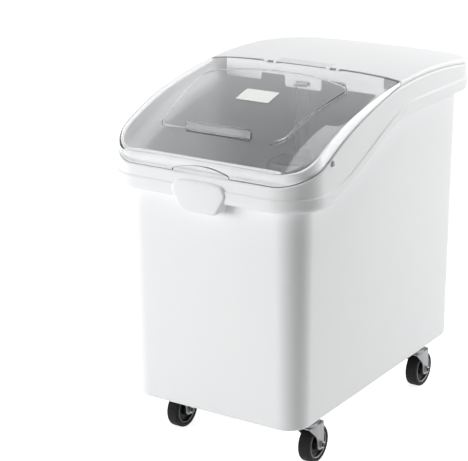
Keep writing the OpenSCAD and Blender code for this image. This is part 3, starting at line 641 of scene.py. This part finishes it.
# The painted shadow along the hem is taller, so darker, towards the front and on the right half of the
# finger arch, away from the front lamp; it is lowest on the left, where that lamp's light falls.
edge_side_share, edge_side_y, edge_side_run = 0.35, -0.24, 0.06
edge_left_share, edge_left_x, edge_left_run = 0.12, -0.06, 0.08
arch_shade, arch_shade_run = 0.8, 0.02
path_x, path_y, foot_z = front_path[:, 0], front_path[:, 1], front_path[:, 4]
ahead = smooth((edge_side_y - path_y) / edge_side_run)
rightward = smooth((path_x - edge_left_x) / edge_left_run)
in_arch = smooth(path_x / arch_shade_run) * (finger_arch(path_x, path_y) > 0)
hem_h = edge_h * (edge_side_share + (1 - edge_side_share) * ahead) * (1 + arch_shade * in_arch)
hem_h = hem_h * (edge_left_share + (1 - edge_left_share) * rightward)
edge_in = lid_edge_r - lid_t - edge_skin + 0 * foot_z
edge_out = lid_edge_r + edge_skin + 0 * foot_z
edge_low, edge_high = foot_z - edge_skin, foot_z + hem_h
hem_lines = [(edge_in, edge_high), (edge_in, edge_low), (edge_out, edge_low), (edge_out, edge_high)]
hem_shadow_strip = lofted(front_path[:, :4], np.stack([np.stack(line, 1) for line in hem_lines]))
cut_low = -lid_t - edge_skin
cut_section = np.array([
    (-cut_h, edge_skin), (edge_skin, edge_skin), (edge_skin, cut_low), (-cut_h, cut_low),
])


def bar_on_lid(x, y, section):
    """A thin bar along X on the lid's face, closed at both ends: at each x, the section's rows of
    depth and height are set off from the line at y."""
    xs = x + 0 * section[:, :1]
    bar = np.stack([xs, y + section[:, :1] + 0 * x, lid_z(x, y + 0 * x) + section[:, 1:]], 2)
    return capped_patch(np.swapaxes(bar, 0, 1))


hinge_half = knuckle_l / 2 + knuckle_rear_l + 2 * knuckle_gap
cut_end = lid_half_w - lid_edge_r
cut_runs = [(-cut_end, -knuckle_x - hinge_half), (hinge_half - knuckle_x, knuckle_x - hinge_half),
            (knuckle_x + hinge_half, cut_end)]
pull_w, pull_h, pull_t, pull_y, pull_r = 0.140, 0.018, 0.004, -0.279, 0.006
pull_foot_r, pull_edge_r = 0.001, 0.0008
foot_h, foot_low, foot_in, foot_out, foot_lean = 0.0012, 0.0008, 0.0006, 0.0012, 0.0004
foot_x = np.linspace(-1, 1, 61) * (pull_w / 2 - pull_foot_r)
foot_section = np.array([
    (-foot_out, -foot_low), (foot_in, -foot_low), (foot_in, foot_h), (-foot_lean, foot_h),
])
# The bars are painted shadow too: one along the pull's foot and three along the straight cut where the
# lids meet, between the knuckles.
shadow_line_patches = [capped_patch(np.swapaxes(hem_shadow_strip, 0, 1))]
shadow_line_patches.append(bar_on_lid(foot_x, pull_y - pull_t / 2, foot_section))
shadow_line_patches += [bar_on_lid(np.linspace(a, b, 61), hinge_y, cut_section) for a, b in cut_runs]
make_piece("front_lid_painted_shadow_lines", shadow_line_patches, painted_shadow_lines, "front_lid")

pull_base_z = float(lid_z(np.array(0.0), np.array(pull_y)))
pull_points = box_points(pull_w / 2, pull_base_z + foot_h, pull_base_z + pull_h)
pull_outline = fillet(pull_points, [pull_foot_r, pull_foot_r, pull_r, pull_r])
pull = flat_plate([pull_outline], pull_t, pull_edge_r, Matrix.Translation((0, pull_y, 0)) @ upright)
make_clear("front_lid_pull", [pull], "front_lid")
front_knuckles = [knuckle_patch(s * knuckle_x, knuckle_l) for s in (-1, 1)]
make_clear("front_lid_knuckles", front_knuckles, "front_lid")

# Label place: a thin bare white plate of matt plastic, stuck on the front lid's raised panel.
# It is a rounded rectangle that follows the panel's curve.
label_w, label_d, label_x, label_y, label_t = 0.071, 0.041, 0.008, -0.161, 0.0005
label_corner_r, label_border, label_glue, label_soft = 0.002, 0.003, 0.0001, [0.0001, 0.0002]


def grained(name, colour, roughness, spread, grain, metallic=0.0, specular=0.5):
    """A plain material with a fine grain, given as scale, depth and strength, and a roughness
    that runs with the grain over a spread of two values."""
    material, tree, shader = plain_material(name, colour, roughness, metallic)
    shader.inputs["Specular IOR Level"].default_value = specular
    height, _ = add_grain(tree, shader, *grain)
    vary(tree, height, shader.inputs["Roughness"], *spread)
    return material


label_white = grained("bare_label_white", (0.93, 0.93, 0.92), 0.5, (0.45, 0.55), (1500, 0.00003, 0.3))
label_plan = rounded_plan(label_w / 2, label_d / 2, label_corner_r, 6, 12, 10)
label_line = np.array([(-label_border, 0), (0, 0), (0, label_t), (-label_border, label_t)])
label_rings = lofted(label_plan, rounded_profile(label_line[:, None], label_soft, 3, 3))
inward = np.linspace(1, 0.08, 12)[1:, None, None] * (1, 1, 0) + (0, 0, 1)
label_points = np.concatenate([label_rings[:1] * inward[::-1], label_rings, label_rings[-1:] * inward])
label_points[:, :, :2] += np.array([label_x, label_y])
lx, ly = label_points[:, :, 0], label_points[:, :, 1]
label_points[:, :, 2] += lid_z(lx, ly) + raised_panel(lx, ly) + label_glue
make_piece("bare_label", [capped_patch(label_points)], label_white, "front_lid")

# Scoop: a clear moulded trough with a slanted mouth and a half-round hollow handle, hung inside
# the bin by a flat hook tongue through the rear lid's slot. A grey saddle with a small knob
# is fixed over the joint of handle and bowl.
scoop_gap, scoop_w, scoop_d, scoop_wall = 0.0015, 0.104, 0.086, 0.0026
scoop_rim_y = rear_lid_y - scoop_gap
bowl_l, bowl_rim_l, bowl_heel_r = 0.190, 0.046, 0.014
handle_l, handle_r, handle_end_r = 0.145, 0.015, 0.005
scoop_top_z = slot_low_z + slot_h
bowl_top_z = scoop_top_z - handle_l
lip_y = scoop_rim_y - scoop_wall / 2


def u_path(r, side, bend):
    """A U in plan that opens to the rear: a half circle between two straight sides, as rows of
    x, y, outward x, outward y, with its ends on the scoop's lip."""
    a = np.linspace(np.pi, 2 * np.pi, bend + 1)
    arc = np.stack([r * np.cos(a), lip_y - side + r * np.sin(a), np.cos(a), np.sin(a)], 1)
    share = np.linspace(0, 1, 12)[:-1, None] if side else np.zeros((0, 1))
    shift = np.array([0, side, 0, 0])
    return np.vstack([arc[0] + shift * (1 - share), arc, arc[-1] + shift * (1 - share[::-1])])


def trough_patches(path, mouth_z, end_z, heel):
    """Closed shell of a trough: the path is carried up from the mouth's height at each of its
    points, turns over a quarter-round heel and shrinks to the middle of the open side as an end
    wall. The inside is the same, a wall further in, and one half-round lip joins the two."""
    middle = (path[0, :2] + path[-1, :2]) / 2

    def skin(inset):
        r, top = heel - inset, end_z - inset
        a = np.linspace(0, np.pi / 2, 9)[:, None]
        rise = np.linspace(0, 1, 30)[:-1, None]
        z = np.vstack([mouth_z + (top - r - mouth_z) * rise, top - r + r * np.sin(a) + 0 * mouth_z])
        set_in = np.vstack([inset + 0 * rise, inset + r * (1 - np.cos(a))])
        xy = path[None, :, :2] - path[None, :, 2:] * set_in[:, :, None]
        share = np.linspace(1, 0, 12)[1:, None, None]
        xy = np.concatenate([xy, middle + (xy[-1:] - middle) * share])
        z = np.vstack([z, top + 0 * share[:, :, 0] * mouth_z])
        return np.concatenate([xy, z[:, :, None]], 2)

    def border(points):
        return np.vstack([points[::-1, 0], points[0, 1:-1], points[:, -1]])

    outer, inner = skin(0), skin(scoop_wall)
    edge_out, edge_in = border(outer), border(inner)
    ahead = np.zeros_like(edge_out)
    ahead[:, 1] = 1
    corners = [len(outer) - 1, len(edge_out) - len(outer)]
    ahead[corners[0] + 1:corners[1]] = (0, 0, -1)
    ahead[corners] = np.array([0, 1, -1]) / math.sqrt(2)
    t = np.linspace(0, np.pi, 7)[:, None, None]
    lip = (edge_out + edge_in) / 2 + (edge_out - edge_in) / 2 * np.cos(t)
    lip = lip + ahead * scoop_wall / 2 * np.sin(t)
    return [grid_patch(outer), grid_patch(inner), grid_patch(lip)]


bowl_side = scoop_d - scoop_w / 2 - scoop_wall / 2
bowl_path = u_path(scoop_w / 2, bowl_side, 72)
mouth_slope = (bowl_l - bowl_rim_l) / scoop_d
bowl_mouth_z = bowl_top_z - bowl_rim_l + scoop_wall / 2 + (bowl_path[:, 1] - scoop_rim_y) * mouth_slope
handle_path = u_path(handle_r - scoop_wall / 2, 0, 40)
handle_low_z = bowl_top_z - scoop_wall / 2 + 0 * handle_path[:, 0]
scoop_patches = trough_patches(bowl_path, bowl_mouth_z, bowl_top_z, bowl_heel_r)
scoop_patches += trough_patches(handle_path, handle_low_z, scoop_top_z, handle_end_r)

tongue_room, tongue_t, tongue_gap, tongue_bend = 0.004, 0.003, 0.0005, 0.003
tongue_w = slot_w - tongue_room
hook_gap, hook_h, tongue_edge_r = 0.0016, 0.009, 0.0008
tongue_z = slot_low_z + tongue_gap + tongue_t / 2
hook_y = rear_lid_y + flange_t + hook_gap + tongue_t / 2
bend_a = np.linspace(np.pi / 2, 0, 9)
bend_ray = np.stack([np.cos(bend_a), np.sin(bend_a)], 1)
bend_line = np.array([hook_y - tongue_bend, tongue_z - tongue_bend]) + tongue_bend * bend_ray
tongue_line = np.vstack([(scoop_rim_y - handle_r + scoop_wall / 2, tongue_z), bend_line,
                         (hook_y, tongue_z - tongue_t / 2 - hook_h)])
tongue_out = np.vstack([bend_ray[:1], bend_ray, bend_ray[-1:]])
strap_points = np.array(box_points(tongue_w / 2, -tongue_t / 2, tongue_t / 2))
strap = rounded_outline(strap_points, tongue_edge_r, 4)
tongue_yz = tongue_line[:, None] + tongue_out[:, None] * strap[None, :, 1:2]
tongue_x = strap[None, :, :1] + 0 * tongue_yz[:, :, :1]
scoop_patches.append(capped_patch(np.concatenate([tongue_x, tongue_yz], 2)))
make_clear("clear_scoop", scoop_patches, "scoop", ["scoop"], 45)

# Grey: the saddle's own colour, and painted shade on the lid stop.
grey_grain = (1200, 0.00005, 0.3)
grey_plastic_and_shade = grained("grey_plastic_and_painted_shade", (0.45, 0.46, 0.47), 0.5, (0.42, 0.58), grey_grain)
saddle_w, saddle_l, saddle_t, saddle_gap = 0.034, 0.032, 0.009, 0.0002
saddle_narrow, saddle_fall, saddle_power = 0.12, 0.5, 0.6
knob_r, knob_h, knob_soft = 0.004, 0.006, 0.0015
saddle_base_y = scoop_rim_y + saddle_gap


def saddle_patch():
    """The saddle: arches across the handle, each a flattened half oval on a flat foot, lower and
    narrower towards both ends."""
    along = np.linspace(-1, 1, 33)[:, None]
    arch = np.linspace(0, np.pi, 41)[None, :]
    x = saddle_w / 2 * (1 - saddle_narrow * along ** 2) * np.cos(arch)
    high = saddle_t * np.sqrt(1 - saddle_fall * along ** 4)
    y = saddle_base_y + high * np.sin(arch) ** saddle_power
    return capped_patch(np.stack([x, y, bowl_top_z + saddle_l / 2 * along + 0 * arch], 2))


def knob_patch():
    """The knob under the saddle: a short round stub with a rounded end."""
    end_z = bowl_top_z - saddle_l / 2 - knob_h
    a = np.linspace(0, np.pi / 2, 6)
    r = np.concatenate([knob_r - knob_soft * (1 - np.sin(a)), [knob_r]])[:, None]
    z = np.concatenate([end_z + knob_soft * (1 - np.cos(a)), [end_z + 2 * knob_h]])[:, None]
    turn = np.linspace(0, 2 * np.pi, 41)[None, :-1]
    y = saddle_base_y + saddle_t / 2 + r * np.sin(turn)
    return capped_patch(np.stack([r * np.cos(turn), y, z + 0 * turn], 2))


make_piece("grey_saddle", [saddle_patch(), knob_patch()], grey_plastic_and_shade, "scoop", ["scoop_saddle"])

# Lid stop: a small lug on the right of the collar, close under the lid's edge; its grey is painted shade.
# It is pressed into the collar's wall and stands a few millimetres proud of it.
stop_w, stop_h, stop_proud, stop_y, stop_under = 0.010, 0.010, 0.003, -0.243, 0.013
stop_corner_r, stop_edge_r, stop_root, stop_dome = 0.0013, 0.0012, 0.001, 0.0004
stop_corners = [(-stop_w / 2, 0), (stop_w / 2, 0), (stop_w / 6, stop_h), (-stop_w / 6, stop_h)]
stop_outline = rounded_outline(np.array(stop_corners), stop_corner_r, 6)
stop_verts, stop_faces = plate_patch(stop_outline, stop_root, -stop_proud, stop_edge_r, stop_dome)
stop_place = np.array([tub_w / 2 + ledge_o, stop_y, float(rim_z(np.array(stop_y))) - stop_under])
stop_verts = np.stack([-stop_verts[:, 1], stop_verts[:, 0], stop_verts[:, 2]], 1) + stop_place
make_piece("lid_stop", [(stop_verts, stop_faces)], grey_plastic_and_shade, "tub")

# Casters: bright zinc-plated pressed steel with black wheels, one under each corner pad.
# Each fork is bent from one plate, swivels on a ball race and holds the wheel on a bolt.
zinc, tree, shader = plain_material("zinc_plate", (0.26, 0.264, 0.27), 0.36, 1.0)
zinc_low, zinc_high = (0.14, 0.142, 0.145), (0.37, 0.375, 0.38)
grain, place = add_grain(tree, shader, 400, 0.00004, 0.25, (1, 1, 0.12))
vary(tree, noise_on(tree, place, 260), shader.inputs["Base Color"], zinc_low, zinc_high)
vary(tree, grain, shader.inputs["Roughness"], 0.26, 0.44)
# Painted shade: the caster plates take a darker, duller zinc than the forks, standing for the shade that
# falls on them under the bin.
zinc_painted_shade, tree, shader = plain_material("zinc_painted_shade", (0.13, 0.132, 0.135), 0.5, 1.0)
_, place = add_grain(tree, shader, 400, 0.00004, 0.25)
vary(tree, noise_on(tree, place, 90), shader.inputs["Roughness"], 0.4, 0.58)
metal_grain = (500, 0.00003, 0.2)
# The axle bolt's end, in the middle of the bright nut, is near black.
dark_bolt_steel = grained("near_black_steel", (0.03, 0.03, 0.032), 0.36, (0.28, 0.44), metal_grain, 1.0)
steel = grained("plated_steel", (0.40, 0.405, 0.41), 0.24, (0.16, 0.3), metal_grain, 1.0)
bush_metal = grained("bush_bronze", (0.55, 0.42, 0.2), 0.35, (0.28, 0.42), metal_grain, 1.0)
wheel_grain, rubber_grain, ring_grain = (900, 0.00005, 0.3), (700, 0.00008, 0.4), (900, 0.00004, 0.3)
wheel_black = grained("black_nylon", (0.010, 0.010, 0.011), 0.42, (0.35, 0.5), wheel_grain, 0.0, 0.2)
rubber = grained("grey_black_rubber", (0.008, 0.008, 0.0085), 0.66, (0.58, 0.76), rubber_grain, 0.0, 0.25)
ring_grey = grained("light_grey_ring", (0.66, 0.67, 0.68), 0.45, (0.38, 0.52), ring_grain)
finishes = {
    "caster_plate": zinc_painted_shade, "caster_screws": steel, "kingpin": steel, "swivel_balls": steel,
    "axle_bolt": dark_bolt_steel, "axle_nut": steel, "axle_bush": bush_metal,
}

wheel_r, tread_w, trail, steel_t, steel_edge_r = 0.0375, 0.026, 0.020, 0.003, 0.0007
fork_gap, crown_gap = 0.0016, 0.005
fork_in = tread_w / 2 + fork_gap
fork_out = fork_in + steel_t
crown_low_z = 2 * wheel_r + crown_gap
crown_top_z, crown_end_z, crown_corner_r = crown_low_z + steel_t, 0.0896, 0.003
arm_end_r, arm_front, gusset_share, dish_r = 0.011, 0.020, 0.35, 0.0194
gusset_z = wheel_r + gusset_share * (crown_low_z - wheel_r)
arm_rear = trail + arm_end_r

tyre_in_r, tyre_round, tyre_seat_r, tread_half = 0.0295, 0.006, 0.0008, tread_w / 2
tyre_radii = [tyre_seat_r, tyre_seat_r, tyre_round, tyre_round]
tyre_line = fillet(box_points(tread_half, tyre_in_r, wheel_r), tyre_radii, 9)
hub_gap, hub_r, hub_lean, bore_r, web_half = 0.0004, 0.012, 0.001, 0.00605, 0.0045
rim_r, rim_lean = 0.026, 0.0012
hub_half, rim_half = fork_in - hub_gap, tread_half - tyre_round / 2
core_half = [
    (hub_half, bore_r), (hub_half, hub_r), (web_half, hub_r + hub_lean),
    (web_half, rim_r - rim_lean), (rim_half, rim_r), (rim_half, tyre_in_r),
]
core_half_radii = [0.0003, 0.001, 0.002, 0.002, 0.0006, 0.0002]
core_line = fillet(mirrored(core_half), [*core_half_radii, *core_half_radii[::-1]])
bead_r, bead_w, bead_proud, bead_root = 0.0275, 0.0018, 0.0022, 0.0004
bead_turn = np.linspace(0, np.pi, 9)
bead_x = rim_half + bead_proud * np.sin(bead_turn)
bead_arc = np.stack([bead_x, bead_r - bead_w / 2 * np.cos(bead_turn)], 1)
bead_base = bead_arc[[-1, 0]] * (0, 1) + (rim_half - bead_root, 0)
bead_line = np.vstack([bead_arc, bead_base])

heel_turn = np.linspace(np.pi, 2 * np.pi, 25)
heel_ray = np.stack([np.cos(heel_turn), np.sin(heel_turn)], 1)
heel = np.array([trail, wheel_r]) + arm_end_r * heel_ray
arm_neck, arm_bend = trail - arm_end_r, 7
arm_corners = [
    (arm_rear, crown_top_z), (-arm_front, crown_top_z), (-arm_front, crown_low_z),
    (arm_neck, gusset_z), (arm_neck, wheel_r), (arm_rear, wheel_r),
]
arm_radii = [0.004, 0.001, 0.001, 0.012, sharp_r, sharp_r]
arm_shape = np.vstack([fillet(arm_corners, arm_radii, arm_bend)[:-2 * arm_bend], heel])
crown_shape = fillet(box_points(fork_out, -arm_front, arm_rear), [crown_corner_r] * 4)
dish_hole_r, dish_root, dish_lean = 0.008, 0.0005, 0.0012
dish_low_z = crown_top_z - dish_root
dish_line = [
    (dish_low_z, dish_hole_r), (dish_low_z, dish_r),
    (crown_end_z, dish_r - dish_lean), (crown_end_z, dish_hole_r),
]
dish_verts, dish_faces = turned(dish_line, (0, 0, 0), 64)
on_edge = Matrix(((0, 0, 1, 0), (1, 0, 0, 0), (0, 1, 0, 0), (0, 0, 0, 1)))
arm_x = (fork_in + fork_out) / 2
arm_places = [Matrix.Translation((s * arm_x, 0, 0)) @ on_edge for s in (-1, 1)]
crown_place = Matrix.Translation((0, 0, crown_low_z + steel_t / 2))
fork_patches = [flat_plate([arm_shape], steel_t, steel_edge_r, place) for place in arm_places]
fork_patches.append(flat_plate([crown_shape], steel_t, steel_edge_r, crown_place))
fork_patches.append((dish_verts[:, [1, 2, 0]], dish_faces))


def finish_node(name, material):
    """Gives one of the frame's own nodes its material."""
    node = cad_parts[name]
    node.data.materials.clear()
    node.data.materials.append(material)


for corner, (x, y) in caster_places.items():
    for kind, finish in finishes.items():
        finish_node(f"{kind}_{corner}", finish)
    axle, wheel = (x, y + trail, wheel_r), f"caster_wheel_{corner}"
    fork = [(verts + np.array([x, y, 0]), faces) for verts, faces in fork_patches]
    make_piece(f"pressed_fork_{corner}", fork, zinc, f"caster_fork_{corner}", [f"fork_{corner}"])
    make_piece(f"soft_tyre_{corner}", [turned(tyre_line, axle, 128)], rubber, wheel,
               [f"tyre_{corner}"])
    make_piece(f"moulded_wheel_{corner}", [turned(core_line, axle, 96)], wheel_black, wheel,
               [f"wheel_core_{corner}"])
    make_piece(f"wheel_ring_{corner}", [turned(bead_line * (s, 1), axle, 96) for s in (-1, 1)],
               ring_grey, wheel)
for side in ("left", "right"):
    finish_node(f"hinge_pin_{side}", steel)

# Studio: a wide white floor that keeps the bin's shadow, a white surround, two broad soft
# lamps at the sides and one overhead.
floor_half, floor_glow, surround_low, surround_high = 14.0, 0.82, 0.11, 1.0
floor_mesh = bpy.data.meshes.new("studio_floor")
floor_corners = [(*xy, 0) for xy in box_points(floor_half, -floor_half, floor_half)]
floor_mesh.from_pydata(floor_corners, [], [(0, 1, 2, 3)])
floor = bpy.data.objects.new("studio_floor", floor_mesh)
scene.collection.objects.link(floor)


def seen_ray(tree):
    """1 for rays that show a surface to the eye directly, in a gloss or through glass, and 0 for
    those that light another surface, which have left one diffusely before."""
    path = tree.nodes.new("ShaderNodeLightPath")

    def joined(operation, first, second):
        node = tree.nodes.new("ShaderNodeMath")
        node.operation = operation
        tree.links.new(first, node.inputs[0])
        if isinstance(second, float):
            node.inputs[1].default_value = second
        else:
            tree.links.new(second, node.inputs[1])
        return node.outputs["Value"]

    shown = joined("MAXIMUM", path.outputs["Is Camera Ray"], path.outputs["Is Glossy Ray"])
    shown = joined("MAXIMUM", shown, path.outputs["Is Transmission Ray"])
    return joined("MULTIPLY", shown, joined("LESS_THAN", path.outputs["Diffuse Depth"], 0.5))


floor_paint, tree, shader = plain_material("studio_white", (0.85, 0.85, 0.85), 0.9)
shader.inputs["Emission Color"].default_value = (1, 1, 1, 1)
vary(tree, seen_ray(tree), shader.inputs["Emission Strength"], 0.0, floor_glow)
floor_mesh.materials.append(floor_paint)

world = bpy.data.worlds.new("studio_surround")
scene.world = world
world.use_nodes = True
tree = world.node_tree
surround = tree.nodes["Background"]
surround.inputs["Color"].default_value = (1, 1, 1, 1)
vary(tree, seen_ray(tree), surround.inputs["Strength"], surround_low, surround_high)


def soft_lamp(name, place, aim, size, power):
    """A broad area lamp, size being its width and height, that looks from its place at its aim.
    Clear pieces cast no shadow, so its light isn't counted once more through them."""
    lamp = bpy.data.lights.new(name, "AREA")
    lamp.shape = "RECTANGLE"
    lamp.size, lamp.size_y = size
    lamp.energy = power
    holder = bpy.data.objects.new(name, lamp)
    holder.location = place
    holder.rotation_euler = (Vector(aim) - Vector(place)).to_track_quat("-Z", "Y").to_euler()
    holder.visible_transmission = False
    scene.collection.objects.link(holder)
    return holder


middle = (0.0, 0.0, 0.4)
key_lamp = soft_lamp("lamp_front_left", (-2.3, -2.94, 0.75), middle, (2.6, 1.4), 103)
key_lamp.visible_glossy = False
soft_lamp("lamp_right_rear", (2.1, 2.7, 1.4), middle, (1.8, 1.8), 82)
soft_lamp("lamp_top", (0.0, 0.2, 3.2), middle, (2.0, 2.0), 46)

# Camera: fitted to the bin's edges and floor contacts in the photograph's 468 by 461 frame.
# Its turn, tilt and roll are in radians and its eye in metres.
frame_w = 468
focal_px, centre_dx, centre_dy = 1619.13, 36.87, 4.40
turn, tilt, roll = 0.5655, 0.3141, -0.0026
eye = (1.5844, -2.6012, 1.3600)
aim = Matrix.Rotation(turn, 4, "Z") @ Matrix.Rotation(math.pi / 2 - tilt, 4, "X")
camera_data = bpy.data.cameras.new("photo_camera")
camera_data.sensor_width = 36.0
camera_data.lens = camera_data.sensor_width * focal_px / frame_w
camera_data.shift_x = -centre_dx / frame_w
camera_data.shift_y = centre_dy / frame_w
camera = bpy.data.objects.new("photo_camera", camera_data)
camera.matrix_world = Matrix.Translation(eye) @ aim @ Matrix.Rotation(roll, 4, "Z")
scene.collection.objects.link(camera)
scene.camera = camera
scene.view_settings.view_transform = "Standard"
